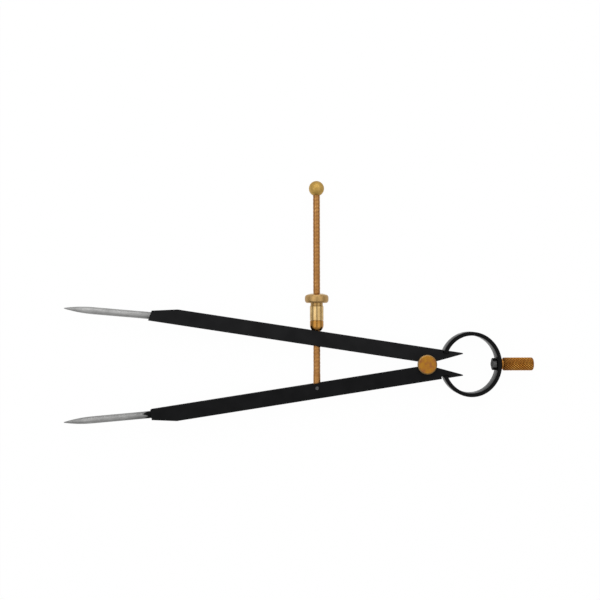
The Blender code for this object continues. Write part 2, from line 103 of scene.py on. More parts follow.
# %% [markdown]
# ## The camera
# The photograph was taken from above with a long lens. Matching the outlines of the ring, the
# screw and the points to their real places gave the camera: 41 cm above the tool and a little to
# the left of its middle, which is why the inner wall of the ring shows on the right and its outer
# wall on the upper left.

# %% Set up the camera
CAMERA_PLACE = Vector((-60.57, 23.15, 413.94)) * MM
CAMERA_TARGET = Vector((-53.41, 27.29, 3.9)) * MM
CAMERA_ROLL = 0.002  # radians
LENS_MM = 58.2

forward = (CAMERA_TARGET - CAMERA_PLACE).normalized()
rightward = forward.cross(Vector((math.sin(CAMERA_ROLL), math.cos(CAMERA_ROLL), 0))).normalized()
upward = rightward.cross(forward)
camera_data = bpy.data.cameras.new("copy_stand_camera")
camera_data.lens = LENS_MM
camera_data.clip_start = 0.01
camera = bpy.data.objects.new("copy_stand_camera", camera_data)
bpy.context.scene.collection.objects.link(camera)
turn = Matrix((rightward, upward, -forward)).transposed().to_4x4()
camera.matrix_world = Matrix.Translation(CAMERA_PLACE) @ turn
bpy.context.scene.camera = camera
bpy.context.scene.view_settings.view_transform = "Standard"
print(f"lens {LENS_MM} mm, {CAMERA_PLACE.z / MM:.0f} mm above the table")

# %% [markdown]
# ## Colours and nodes
# Colours are written as the hex values that a picture editor shows, and Blender's shaders want
# linear light, so one function turns them. A second one adds a node: its own options, and for its
# sockets either a value or another node's output. That keeps each material readable as a recipe.
# A socket goes by its name. Where several sockets of a node share one name, a number has to pick
# one, so the numbers that come up again and again are named here.

# %% Helpers for materials
FACTOR, NUMBER_A, NUMBER_B, COLOUR_A, COLOUR_B = 0, 2, 3, 6, 7  # into a Mix node
MIXED_COLOUR = 2  # out of a Mix node
FROM_MIN, FROM_MAX, TO_MIN, TO_MAX = 1, 2, 3, 4  # into a Map Range node
MARK_DEPTH = 0.02 * MM  # of grain and scratches


def colour(code):
    """A hex colour such as #1E1E1E as linear red, green, blue and alpha."""
    parts = [int(code[i:i + 2], 16) / 255 for i in (1, 3, 5)]
    linear = [p / 12.92 if p <= 0.04045 else ((p + 0.055) / 1.055) ** 2.4 for p in parts]
    return (*linear, 1.0)


def add(tree, kind, values=None, stops=None, **settings):
    """Add a node. Each value goes to its socket, as a link if it is another node's output."""
    made = tree.nodes.new("ShaderNode" + kind)
    for name, setting in settings.items():
        setattr(made, name, setting)
    if stops:
        ends = made.color_ramp.elements
        while len(ends) < len(stops):
            ends.new(0.5)
        for element, (place, code) in zip(ends, stops):
            element.position = place
            element.color = colour(code)
    for socket, value in (values or {}).items():
        if isinstance(value, bpy.types.NodeSocket):
            tree.links.new(value, made.inputs[socket])
        else:
            made.inputs[socket].default_value = value
    return made


def begin_material(name, metallic, roughness, code):
    """A material with its Principled shader, and the object's own coordinates in metres."""
    material = bpy.data.materials.new(name)
    material.use_nodes = True
    tree = material.node_tree
    shader = tree.nodes["Principled BSDF"]
    shader.inputs["Metallic"].default_value = metallic
    shader.inputs["Roughness"].default_value = roughness
    shader.inputs["Base Color"].default_value = colour(code)
    material.diffuse_color = colour(code)
    place = add(tree, "TexCoord").outputs["Object"]
    return material, tree, shader, place


def per_mm(size):
    """The scale of a texture whose features are this many millimetres across."""
    return 1 / (size * MM)


# %% [markdown]
# ## Blackened steel
# The legs, the nut and its stud are mild steel with a black oxide: the part is boiled in a caustic
# salt bath, which leaves a thin satin black skin. It could be one flat black, but the real skin
# has a fine grain from the sheet under it, and it is a little greyer and duller in patches. So a
# fine noise (0.5 mm) gives the grain as bump, and a wide one (6 mm) drifts the colour and the
# gloss. The legs' edges were milled, which leaves them rougher than the ground faces, so they
# mirror almost nothing. The lower leg gets a darker copy of the same black, as painted shade. On
# the nut and its stud, a grey band along their middle as seen from above is a painted highlight.

# %% Black oxide on steel
OXIDE_SPECULAR = 0.06
FACE_NONE, FACE_FULL = 2.36 * MM, 2.44 * MM  # off the middle plane, of legs 5 mm thick
# edges of the painted highlight band, aside of the stud's axis
HIGHLIGHT_FULL, HIGHLIGHT_NONE = 1.0 * MM, 1.5 * MM  # aside of the stud's axis


def make_black_oxide(name, codes):
    """codes are the dark and the light of its patches."""
    material, tree, shader, place = begin_material(name, 0.0, 0.5, codes[1])
    shader.inputs["Specular IOR Level"].default_value = OXIDE_SPECULAR
    height = add(tree, "SeparateXYZ", {"Vector": place}).outputs["Z"]
    above = add(tree, "Math", {0: height, 1: PLANE}, operation="SUBTRACT")
    off_middle = add(tree, "Math", {0: above.outputs[0]}, operation="ABSOLUTE")
    face = add(
        tree,
        "MapRange",
        {"Value": off_middle.outputs[0], FROM_MIN: FACE_NONE, FROM_MAX: FACE_FULL},
    )
    cloud = add(tree, "TexNoise", {"Vector": place, "Scale": per_mm(6), "Detail": 4.0})
    grain = add(tree, "TexNoise", {"Vector": place, "Scale": per_mm(0.5), "Detail": 3.0})
    tint = add(
        tree, "ValToRGB", {"Fac": cloud.outputs[0]}, stops=[(0.3, codes[0]), (0.7, codes[1])]
    )
    gloss = add(
        tree,
        "MapRange",
        {"Value": cloud.outputs[0], FROM_MIN: 0.3, FROM_MAX: 0.7, TO_MIN: 0.38, TO_MAX: 0.52},
    )
    bump = add(
        tree, "Bump", {"Height": grain.outputs[0], "Strength": 0.25, "Distance": MARK_DEPTH}
    )
    rough = add(
        tree,
        "Mix",
        {FACTOR: face.outputs[0], NUMBER_A: 1.0, NUMBER_B: gloss.outputs[0]},
        data_type="FLOAT",
    )
    tree.links.new(tint.outputs[0], shader.inputs["Base Color"])
    tree.links.new(rough.outputs[0], shader.inputs["Roughness"])
    tree.links.new(bump.outputs[0], shader.inputs["Normal"])
    return material


def make_highlit_black():
    """The same black, with a painted highlight: grey in a band along the stud's axis."""
    material, tree, shader, place = begin_material("highlit_black_steel", 0.0, 0.5, "#141414")
    shader.inputs["Specular IOR Level"].default_value = OXIDE_SPECULAR
    aside = add(tree, "SeparateXYZ", {"Vector": place}).outputs["Y"]
    off = add(tree, "Math", {0: aside}, operation="ABSOLUTE")
    band = {"Value": off.outputs[0], FROM_MIN: HIGHLIGHT_FULL, FROM_MAX: HIGHLIGHT_NONE}
    # painted highlight: grey in the middle strip seen from above, near-black at the sides
    highlight_share = add(tree, "MapRange", {**band, TO_MIN: 1.0, TO_MAX: 0.0})
    tint = add(
        tree,
        "Mix",
        {FACTOR: highlight_share.outputs[0], COLOUR_A: colour("#080808"), COLOUR_B: colour("#525252")},
        data_type="RGBA",
    )
    tree.links.new(tint.outputs[MIXED_COLOUR], shader.inputs["Base Color"])
    return material


# The lower leg's darker copy of the same black is painted shade: less light falls on it.
upper_black = make_black_oxide("black_oxide_steel_upper", ("#141415", "#1A1A1B"))
shaded_lower_black = make_black_oxide("black_oxide_steel_lower", ("#0D0D0E", "#131314"))
highlit_black = make_highlit_black()
print("materials", upper_black.name, shaded_lower_black.name, highlit_black.name)

# %% [markdown]
# ## Blued spring strip
# The bow is hardened strip, oil-blackened after tempering. Rolled strip is smoother than the legs,
# so it is glossier, and at a glancing angle it mirrors the white table: that is the grey on its
# inner and outer walls in the photograph. The faint marks run round the ring, along the rolled
# strip.


# %% Oil-blackened spring strip
def make_spring_black():
    """A glossy black whose fine marks are drawn out about eight times along the strip."""
    material, tree, shader, place = begin_material(
        "oil_blackened_spring_steel", 0.0, 0.32, "#09090A"
    )
    shader.inputs["Specular IOR Level"].default_value = 0.08
    drawn = add(tree, "Mapping", {"Vector": place, "Scale": (0.12, 0.12, 1.0)})
    marks = add(
        tree, "TexNoise", {"Vector": drawn.outputs[0], "Scale": per_mm(0.35), "Detail": 3.0}
    )
    cloud = add(tree, "TexNoise", {"Vector": place, "Scale": per_mm(5), "Detail": 3.0})
    gloss = add(
        tree,
        "MapRange",
        {"Value": cloud.outputs[0], FROM_MIN: 0.3, FROM_MAX: 0.7, TO_MIN: 0.26, TO_MAX: 0.40},
    )
    bump = add(
        tree, "Bump", {"Height": marks.outputs[0], "Strength": 0.2, "Distance": MARK_DEPTH}
    )
    tree.links.new(gloss.outputs[0], shader.inputs["Roughness"])
    tree.links.new(bump.outputs[0], shader.inputs["Normal"])
    return material


spring_black = make_spring_black()
print("material", spring_black.name)

# %% [markdown]
# ## Ground steel
# The points are hardened tool steel, ground lengthwise by hand, so fine scratches run along them.
# A noise stretched twenty times along the needle draws those scratches. It needs its own
# direction, so the pattern is turned to each needle. Both tips are a little darker, where they
# were stoned and handled most. Painted shade darkens each needle where it comes out of its leg,
# over 4.5 mm on the upper needle and 10 mm on the lower one, and the lower needle's colours are a
# darker copy of the upper one's, as painted shade. The lower needle was blackened in its socket
# too: a ramp along its length, made ragged with noise, carries that black about 2.5 mm out of the
# leg.

# %% Ground tool steel
TIP_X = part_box("point_upper")[0].x
HANDLED_LENGTH, HANDLED_SHARE = 9 * MM, 0.5
RAGGED_REACH = 7 * MM  # the noise averages a half, so it moves the black's edge 3.5 mm outwards
BLACK_NONE, BLACK_FULL = 0.6 * MM, 1.6 * MM  # where that edge lies past the root, unmoved


def make_ground_steel(name, lean, codes, root=None, root_shade=None, blackened=False):
    """lean turns the scratches to the needle. root is where it leaves its leg.

    root_shade is the length and the share of the painted shade that reaches out of the leg.
    """
    material, tree, shader, place = begin_material(name, 1.0, 0.58, codes[1])
    turned = add(
        tree, "Mapping", {"Vector": place, "Rotation": (0, 0, -lean)}, vector_type="POINT"
    )
    streaky = add(tree, "Mapping", {"Vector": turned.outputs[0], "Scale": (0.05, 1.0, 1.0)})
    scratch = add(
        tree, "TexNoise", {"Vector": streaky.outputs[0], "Scale": per_mm(0.6), "Detail": 4.0}
    )
    patches = add(
        tree, "TexNoise", {"Vector": turned.outputs[0], "Scale": per_mm(4), "Detail": 2.0}
    )
    both = add(tree, "Math", {0: scratch.outputs[0], 1: patches.outputs[0]}, operation="ADD")
    mean = add(tree, "Math", {0: both.outputs[0], 1: 0.5}, operation="MULTIPLY")
    shades = [(0.34, codes[0]), (0.5, codes[1]), (0.66, codes[2])]
    tint = add(tree, "ValToRGB", {"Fac": mean.outputs[0]}, stops=shades)
    bump = add(
        tree, "Bump", {"Height": scratch.outputs[0], "Strength": 0.2, "Distance": MARK_DEPTH}
    )
    tree.links.new(bump.outputs[0], shader.inputs["Normal"])
    x = add(tree, "SeparateXYZ", {"Vector": place}).outputs["X"]
    near_tip = {"Value": x, FROM_MIN: TIP_X, FROM_MAX: TIP_X + HANDLED_LENGTH}
    handled = add(tree, "MapRange", {**near_tip, TO_MIN: HANDLED_SHARE, TO_MAX: 0.0})
    tint = add(
        tree,
        "Mix",
        {FACTOR: handled.outputs[0], COLOUR_A: tint.outputs[0], COLOUR_B: colour("#7C7C7C")},
        data_type="RGBA",
    ).outputs[MIXED_COLOUR]
    if root is None:
        tree.links.new(tint, shader.inputs["Base Color"])
        return material
    # painted shade, darkest where the needle comes out of its leg
    reach, share = root_shade
    near_root = {"Value": x, FROM_MIN: root - reach, FROM_MAX: root}
    dark = add(tree, "MapRange", {**near_root, TO_MIN: 0.0, TO_MAX: share})
    if blackened:
        ragged = add(
            tree, "TexNoise", {"Vector": streaky.outputs[0], "Scale": per_mm(1.2), "Detail": 2.0}
        )
        moved = {0: ragged.outputs[0], 1: RAGGED_REACH, 2: x}
        shift = add(tree, "Math", moved, operation="MULTIPLY_ADD").outputs[0]
        edge = {"Value": shift, FROM_MIN: root + BLACK_NONE, FROM_MAX: root + BLACK_FULL}
        black = add(tree, "MapRange", {**edge, TO_MIN: 0.0, TO_MAX: 1.0})
        dark = add(tree, "Math", {0: black.outputs[0], 1: dark.outputs[0]}, operation="MAXIMUM")
    mixed = add(
        tree,
        "Mix",
        {FACTOR: dark.outputs[0], COLOUR_A: tint, COLOUR_B: colour("#161616")},
        data_type="RGBA",
    )
    tree.links.new(mixed.outputs[MIXED_COLOUR], shader.inputs["Base Color"])
    return material


LEG_ANGLE = math.radians(8.8)  # of each leg to the line of symmetry
POINT_CANT = math.radians(3.8)  # of each needle, back from its leg
needle_lean = LEG_ANGLE - POINT_CANT
upper_steel = make_ground_steel(
    "ground_tool_steel_upper",
    -needle_lean,
    ("#969695", "#A5A5A4", "#B4B4B3"),
    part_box("leg_upper")[0].x,
    (4.5 * MM, 0.34),
)
# The lower needle's darker codes are painted shade: less light falls on it than on the upper one.
shaded_lower_steel = make_ground_steel(
    "ground_tool_steel_lower",
    needle_lean,
    ("#8A8A89", "#999998", "#A8A8A7"),
    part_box("leg_lower")[0].x,
    (10 * MM, 0.45),
    blackened=True,
)
print("the needles lean", round(math.degrees(needle_lean), 1), "degrees to the line of symmetry")

# %% [markdown]
# ## Brass
# All the yellow parts are free-cutting brass from round bar, and they differ in age and in finish.
# One recipe serves them: a metal whose colour drifts with a wide noise, as handled brass goes
# browner in patches, and whose fine marks follow how the piece was cut. Turned pieces get rings
# round their axis. A turning tool leaves rings 0.1 mm apart, too fine to show here, so they are
# drawn 0.3 mm apart. The knurl and the thread darken towards the axis: painted shade in their
# valleys, with some real grime. Painted shade also darkens the corner under the nut's flange and
# the end of the handle that meets the bow, and a greyer ring on the fulcrum head's chamfer is a
# painted reflection.

# %% Brass finishes
RING_SPACING = 0.3
# radii of the painted shade: it darkens what is slimmer
SHADE_FULL, SHADE_NONE = 3.1 * MM, 3.4 * MM  # radii: the dirt glazes what is slimmer


def make_brass(
    name,
    codes,
    roughness,
    axis="Z",
    centre=(0, 0, 0),
    band=None,
    bare=0.0,
    corner_shade=None,
    rings=True,
    drift=3.0,
):
    """codes run from dark to light. band is (one radius, other radius, code, roughness there).

    The band's own code takes over between the two radii about the axis, which are in mm, and
    leaves what is slimmer than bare as it is. corner_shade is (start, end, code): from start to
    end along the axis, its code darkens the slim parts as painted shade.
    """
    material, tree, shader, place = begin_material(name, 1.0, roughness, codes[1])
    cloud = add(tree, "TexNoise", {"Vector": place, "Scale": per_mm(drift), "Detail": 4.0})
    shades = [(0.32, codes[0]), (0.5, codes[1]), (0.68, codes[2])]
    tint = add(tree, "ValToRGB", {"Fac": cloud.outputs[0]}, stops=shades).outputs[0]
    drifting = {"Value": cloud.outputs[0], FROM_MIN: 0.3, FROM_MAX: 0.7}
    dull_to_bright = {TO_MIN: roughness + 0.06, TO_MAX: roughness - 0.06}
    gloss = add(tree, "MapRange", {**drifting, **dull_to_bright}).outputs[0]
    local = add(tree, "Mapping", {"Vector": place, "Location": tuple(-c for c in centre)})
    across = [0.0 if letter == axis else 1.0 for letter in "XYZ"]
    radial = add(tree, "VectorMath", {0: local.outputs[0], 1: across}, operation="MULTIPLY")
    radius = add(tree, "VectorMath", {0: radial.outputs[0]}, operation="LENGTH").outputs["Value"]
    if band:
        one, other, code, dull = band
        between = {"Value": radius, FROM_MIN: one * MM, FROM_MAX: other * MM}
        share = add(tree, "MapRange", {**between, TO_MIN: 1.0, TO_MAX: 0.0}).outputs[0]
        if bare:
            thick = add(tree, "Math", {0: radius, 1: bare * MM}, operation="GREATER_THAN")
            share = add(
                tree, "Math", {0: share, 1: thick.outputs[0]}, operation="MULTIPLY"
            ).outputs[0]
        banded = {FACTOR: share, COLOUR_A: tint, COLOUR_B: colour(code)}
        tint = add(tree, "Mix", banded, data_type="RGBA").outputs[MIXED_COLOUR]
        dulled = {FACTOR: share, NUMBER_A: gloss, NUMBER_B: dull}
        gloss = add(tree, "Mix", dulled, data_type="FLOAT").outputs[0]
    lengthwise = [1.0 if letter == axis else 0.0 for letter in "XYZ"]
    along = add(
        tree, "VectorMath", {0: local.outputs[0], 1: lengthwise}, operation="DOT_PRODUCT"
    ).outputs["Value"]
    # painted shade: darkens the slim parts from a point along the axis onwards
    if corner_shade:
        start, end, code = corner_shade
        past = {"Value": along, FROM_MIN: start, FROM_MAX: end, TO_MIN: 0.0, TO_MAX: 1.0}
        past = add(tree, "MapRange", past)
        slim = {"Value": radius, FROM_MIN: SHADE_FULL, FROM_MAX: SHADE_NONE}
        slim = add(tree, "MapRange", {**slim, TO_MIN: 1.0, TO_MAX: 0.0})
        share = add(tree, "Math", {0: past.outputs[0], 1: slim.outputs[0]}, operation="MULTIPLY")
        shade_mix = {FACTOR: share.outputs[0], COLOUR_A: tint, COLOUR_B: colour(code)}
        shaded_tint = add(tree, "Mix", shade_mix, data_type="RGBA", blend_type="MULTIPLY")
        tint = shaded_tint.outputs[MIXED_COLOUR]
    tree.links.new(tint, shader.inputs["Base Color"])
    tree.links.new(gloss, shader.inputs["Roughness"])
    if rings:
        both = add(tree, "Math", {0: radius, 1: along}, operation="ADD")
        per_ring = 2 * math.pi * per_mm(RING_SPACING)
        turns = add(tree, "Math", {0: both.outputs[0], 1: per_ring}, operation="MULTIPLY")
        wave = add(tree, "Math", {0: turns.outputs[0]}, operation="SINE")
        cut = {"Height": wave.outputs[0], "Strength": 0.15, "Distance": 0.01 * MM}
        bump = add(tree, "Bump", cut)
        tree.links.new(bump.outputs[0], shader.inputs["Normal"])
    return material


NUT_FOOT = 7.2 * MM  # from the end of its barrel to its flange
screw_centre = (SCREW_X, 0.0, PLANE)
bow_centre = (0.0, 0.0, PLANE)
fulcrum_brass = make_brass(
    "turned_brass_head",
    ["#9A6136", "#AB742D", "#B5812D"],
    0.40,
    "Z",
    bow_centre,
    # painted reflection: a greyer, duller ring over the head's chamfer
    (3.72, 3.60, "#8C7048", 0.45),
    rings=False,
    drift=1.8,
)
nut_brass = make_brass(
    "polished_nut_brass",
    ["#B89660", "#C4A46E", "#D0B27C"],
    0.26,
    "Y",
    screw_centre,
    (4.4, 4.0, "#B4925F", 0.42),
    # painted shade under the flange: on the undercut and on the slim crown above the flange
    corner_shade=(NUT_START + NUT_FOOT - 1.4 * MM, NUT_START + NUT_FOOT - 1.2 * MM, "#DCD5CA"),
)
ball_brass = make_brass(
    "polished_ball_brass", ["#B4924C", "#BC9A54", "#C4A25E"], 0.56, rings=False
)
washer_brass = make_brass(
    "brown_washer_brass", ["#9E6C30", "#AC7A3A", "#B68442"], 0.27, "Y", screw_centre
)
thread_brass = make_brass(
    "threaded_brass_rod",
    ["#9A6A3A", "#AC7C47", "#BA8A53"],
    0.38,
    "Y",
    screw_centre,
    # painted shade, with some grime, in the thread's roots
    (1.41, 1.47, "#A07040", 0.42),
    rings=False,
)
handle_brass = make_brass(
    "knurled_handle_brass",
    ["#C48032", "#D6923E", "#E6A94E"],
    0.34,
    "X",
    bow_centre,
    # painted shade, with some grime, in the knurl's valleys and the end groove; the neck stays
    # bare
    (2.58, 2.76, "#5C3410", 0.5),
    bare=2.4,
    # painted shade at the end that meets the bow, fading out over 5 mm
    corner_shade=(HANDLE_START + 5.0 * MM, HANDLE_START + 0.5 * MM, "#C0BECB"),
    rings=False,
)
print("brass finishes:", [m.name for m in bpy.data.materials if "brass" in m.name])

# %% [markdown]
# ## Tools for the new pieces
# Every new piece starts from a primitive and is shaped with Blender's own operators, as by hand.
# Most parts of this tool were turned on a lathe, so the main tool is a lathe: one vertex is
# extruded from point to point along half of the outline, and the line is spun round its axis.
# Drawing the outline once is quicker and truer than scaling a cylinder ring by ring.

# %% Helpers for modelling
MERGE_DISTANCE = 1e-6
CUT_THRESHOLD = 1e-7  # bisect's own 0.1 mm would swallow the fine steps of these small parts
ALONG_X = (0.0, math.pi / 2, 0.0)
ALONG_Y = (-math.pi / 2, 0.0, 0.0)


def object_mode():
    """Leave edit mode, with nothing selected."""
    if bpy.context.mode != "OBJECT":
        bpy.ops.object.mode_set(mode="OBJECT")
    bpy.ops.object.select_all(action="DESELECT")


def activate(piece):
    """Select one piece alone."""
    object_mode()
    bpy.context.view_layer.objects.active = piece
    piece.select_set(True)


def edit_all():
    """Enter edit mode on the active piece, with all of it selected."""
    bpy.ops.object.mode_set(mode="EDIT")
    bpy.ops.mesh.select_all(action="SELECT")


def close_mesh():
    """In edit mode, merge all doubles, face outwards, and go back to object mode."""
    bpy.ops.mesh.select_all(action="SELECT")
    bpy.ops.mesh.remove_doubles(threshold=MERGE_DISTANCE)
    bpy.ops.mesh.normals_make_consistent(inside=False)
    bpy.ops.object.mode_set(mode="OBJECT")


def pick(piece, kind, wanted):
    """Enter edit mode with the vertices, edges or faces selected for which wanted() is true."""
    activate(piece)
    mesh = piece.data
    for group in (mesh.vertices, mesh.edges, mesh.polygons):
        group.foreach_set("select", np.zeros(len(group), bool))
    chosen = {"VERT": mesh.vertices, "EDGE": mesh.edges, "FACE": mesh.polygons}[kind]
    for item in chosen:
        item.select = bool(wanted(item))
    bpy.ops.object.mode_set(mode="EDIT")
    bpy.ops.mesh.select_mode(type=kind)


def settle(piece, angle):
    """Close the mesh, put the piece's place into it, and smooth edges flatter than this angle."""
    activate(piece)
    edit_all()
    close_mesh()
    bpy.ops.object.transform_apply(location=True, rotation=True, scale=True)
    bpy.ops.object.shade_smooth_by_angle(angle=math.radians(angle))


def draw_outline(name, outline):
    """Extrude one vertex along a list of (radius, height) in metres, in the plane of X and Z."""
    object_mode()
    bpy.ops.mesh.primitive_plane_add(size=1 * MM)
    piece = bpy.context.object
    piece.name = name
    bpy.ops.object.mode_set(mode="EDIT")
    bpy.ops.mesh.select_mode(type="VERT")
    bpy.ops.mesh.select_all(action="SELECT")
    bpy.ops.mesh.merge(type="CENTER")
    at = (0.0, 0.0)
    for i, (radius, height) in enumerate(outline):
        step = (radius - at[0], 0.0, height - at[1])
        if i == 0:
            bpy.ops.transform.translate(value=step)
        else:
            bpy.ops.mesh.extrude_region_move(TRANSFORM_OT_translate={"value": step})
        at = (radius, height)
    bpy.ops.object.mode_set(mode="OBJECT")
    return piece


def lathe(name, outline, steps):
    """Spin an outline of (radius, height) in metres round the Z axis."""
    piece = draw_outline(name, outline)
    edit_all()
    bpy.ops.mesh.spin(steps=steps, angle=2 * math.pi, center=(0, 0, 0), axis=(0, 0, 1))
    close_mesh()
    return piece


def spread(start, end, count):
    """Evenly spaced values from start to end."""
    return [start + (end - start) * i / count for i in range(count + 1)]


def combine(piece, other, operation):
    """Join, intersect or cut a piece with another one, which is used up."""
    step = piece.modifiers.new("combine", "BOOLEAN")
    step.operation = operation
    step.solver = "EXACT"
    step.object = other
    activate(piece)
    bpy.ops.object.modifier_apply(modifier=step.name)
    bpy.data.objects.remove(other)


def dress(piece, material, body, slot, *nodes):
    """Give a new piece its finish, its body and the CAD nodes that it stands for; slot is not
    used.
    """
    piece.data.materials.clear()
    piece.data.materials.append(material)
    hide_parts(*nodes)
    if body:
        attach(piece, body)
    print(piece.name, len(piece.data.polygons), "faces")


# %% [markdown]
# ## The thread
# The adjusting screw is a fine rolled thread, about 0.5 mm from crest to crest. At the size of
# this picture that is one pixel, and the photograph shows it as soft ripples three to four pixels
# apart. It is drawn three times as coarse, 1.66 mm, so that it shows in the same way. A flat ring
# for each turn would be simpler, but a screw climbs: the Screw modifier winds one ripple round the
# axis again and again, and the waste at both ends is cut off flat.


# %% Wind a thread
def wind_thread(name, root, crest, pitch, length, ripple_steps=8, steps=24):
    """A closed threaded rod along Z from 0 to length, all in metres."""
    turns = math.ceil(length / pitch) + 2
    start = -1.013 * pitch  # so that no row of points lies just at the cut
    ripple = []
    for i in range(ripple_steps + 1):
        share = i / ripple_steps
        lift = (1 - math.cos(2 * math.pi * share)) / 2
        ripple.append((root + (crest - root) * lift, start + pitch * share))
    piece = draw_outline(name, ripple)
    winding = piece.modifiers.new("winding", "SCREW")
    winding.axis = "Z"
    winding.screw_offset = pitch
    winding.iterations = turns
    winding.steps = winding.render_steps = steps
    winding.use_merge_vertices = True
    winding.merge_threshold = MERGE_DISTANCE
    activate(piece)
    bpy.ops.object.modifier_apply(modifier=winding.name)
    for height, outward in ((0.0, -1.0), (length, 1.0)):
        edit_all()
        bpy.ops.mesh.bisect(
            plane_co=(0, 0, height),
            plane_no=(0, 0, outward),
            use_fill=True,
            clear_outer=True,
            threshold=CUT_THRESHOLD,
        )
        bpy.ops.object.mode_set(mode="OBJECT")
    edit_all()
    close_mesh()
    print(name, "turns", turns, "faces", len(piece.data.polygons))
    return piece


# %% [markdown]
# ## The adjusting screw
# It is turned from one brass bar: a smooth shank that ends in the eye inside the lower leg, a
# coned shoulder, and the thread. The shank is made on the lathe, and a boolean union makes it one
# solid with the thread, as one bar should be, so that no hidden wall stays inside.

# %% Make the adjusting screw
SHANK_RADIUS = 1.5 * MM
SHANK_LENGTH = 6.4 * MM
SHOULDER_LENGTH = 0.9 * MM
SHOULDER_RADII = (1.44 * MM, 1.1 * MM)  # part of the way up its cone, and inside the thread
THREAD_ROOT, THREAD_CREST, DRAWN_PITCH = 1.41 * MM, 1.48 * MM, 1.66 * MM
BALL_GAP = 0.02 * MM  # between the end of the rod and the ball
screw_length = BALL_BOTTOM - BALL_GAP - PIN_Y

screw = wind_thread(
    "adjusting_screw_rod", THREAD_ROOT, THREAD_CREST, DRAWN_PITCH, screw_length - SHANK_LENGTH / 2
)
screw.location.z = SHANK_LENGTH / 2
nose = [
    (SHANK_RADIUS * math.sin(a), -SHANK_RADIUS * math.cos(a))
    for a in (math.radians(10 * i) for i in range(10))
]
shank = lathe(
    "shank",
    [
        *nose,
        (SHANK_RADIUS, SHANK_LENGTH - SHOULDER_LENGTH),
        (SHOULDER_RADII[0], SHANK_LENGTH - 0.6 * SHOULDER_LENGTH),
        (SHOULDER_RADII[1], SHANK_LENGTH),
        (0.0, SHANK_LENGTH),
    ],
    40,
)
combine(screw, shank, "UNION")
screw.rotation_euler = ALONG_Y
screw.location = (SCREW_X, PIN_Y + SHANK_LENGTH / 2, PLANE)
settle(screw, 40)
dress(screw, thread_brass, "screw", "threaded_brass", "adjusting_screw")

# %% [markdown]
# ## The knurl
# A knurling wheel presses two sets of crossing spiral grooves into a bar, which leaves small
# diamonds. A texture would look flat at the outline, so the diamonds are real: on a grid of points
# round the bar, every second one is pulled in towards the axis, like a chessboard. The quads are
# then split along the grooves, and each raised point becomes a four-sided pyramid.

# %% Press a knurl into a turned piece
KNURL_REACH = 0.6 * MM  # what lies further inside the knurl's radius isn't part of it


def knurl(piece, radius, low, high, rows, columns, depth):
    """Pull in every second point of the rows between low and high, at this radius about Z."""

    def is_root(vertex):
        across = math.hypot(vertex.co.x, vertex.co.y)
        row = (vertex.co.z - low) / (high - low) * rows
        if not -0.01 < row < rows + 0.01 or across < radius - KNURL_REACH:
            return False
        column = math.atan2(vertex.co.y, vertex.co.x) / (2 * math.pi) * columns
        return (round(row) + round(column)) % 2 == 1

    pick(piece, "VERT", is_root)
    share = 1 - depth / radius
    bpy.ops.transform.resize(value=(share, share, 1.0), center_override=(0, 0, 0))
    bpy.ops.object.mode_set(mode="OBJECT")

    def in_band(face):
        across = math.hypot(face.center.x, face.center.y)
        return low < face.center.z < high and across > radius - KNURL_REACH

    pick(piece, "FACE", in_band)
    bpy.ops.mesh.quads_convert_to_tris(quad_method="SHORTEST_DIAGONAL")
    bpy.ops.object.mode_set(mode="OBJECT")


# %% [markdown]
# ## The handle
# A knurled brass thimble screwed on to the bow. Going by the photograph, a smooth neck meets the
# bow, the knurl covers nearly all the rest with diamonds a little over 1 mm long, and past a fine
# groove a low dome closes the end. The bore for the stud is drawn in the outline, so it is a real
# hole.

# %% Make the handle
HANDLE_RADIUS = 2.82 * MM
HANDLE_NECK_RADIUS = 2.30 * MM
HANDLE_BORE_RADIUS, HANDLE_BORE_DEPTH = 1.3 * MM, 6.4 * MM
HANDLE_GROOVE_RADIUS = 2.60 * MM
KNURL_DEPTH = 0.26 * MM
HANDLE_COLUMNS, HANDLE_ROWS = 34, 20
DOME = [(2.76, 0.56), (2.64, 0.38), (2.38, 0.16), (1.70, 0.04)]  # radius, distance to end, mm
handle_length = HANDLE_END - HANDLE_START
knurl_low, knurl_high = 1.0 * MM, handle_length - 0.8 * MM
handle = lathe(
    "handle_thimble",
    [
        (0.0, HANDLE_BORE_DEPTH),
        (HANDLE_BORE_RADIUS, HANDLE_BORE_DEPTH),
        (HANDLE_BORE_RADIUS, 0.0),
        (HANDLE_NECK_RADIUS - 0.1 * MM, 0.0),
        (HANDLE_NECK_RADIUS, 0.1 * MM),
        (HANDLE_NECK_RADIUS, 0.6 * MM),
        (HANDLE_GROOVE_RADIUS, 0.85 * MM),
        *((HANDLE_RADIUS, height) for height in spread(knurl_low, knurl_high, HANDLE_ROWS)),
        (HANDLE_GROOVE_RADIUS, handle_length - 0.72 * MM),
        (HANDLE_GROOVE_RADIUS, handle_length - 0.66 * MM),
        *((radius * MM, handle_length - back * MM) for radius, back in DOME),
        (0.0, handle_length),
    ],
    HANDLE_COLUMNS,
)
knurl(handle, HANDLE_RADIUS, knurl_low, knurl_high, HANDLE_ROWS, HANDLE_COLUMNS, KNURL_DEPTH)
handle.rotation_euler = ALONG_X
handle.location = (HANDLE_START, 0.0, PLANE)
settle(handle, 22)
dress(handle, handle_brass, "bow", "knurled_brass", "handle")
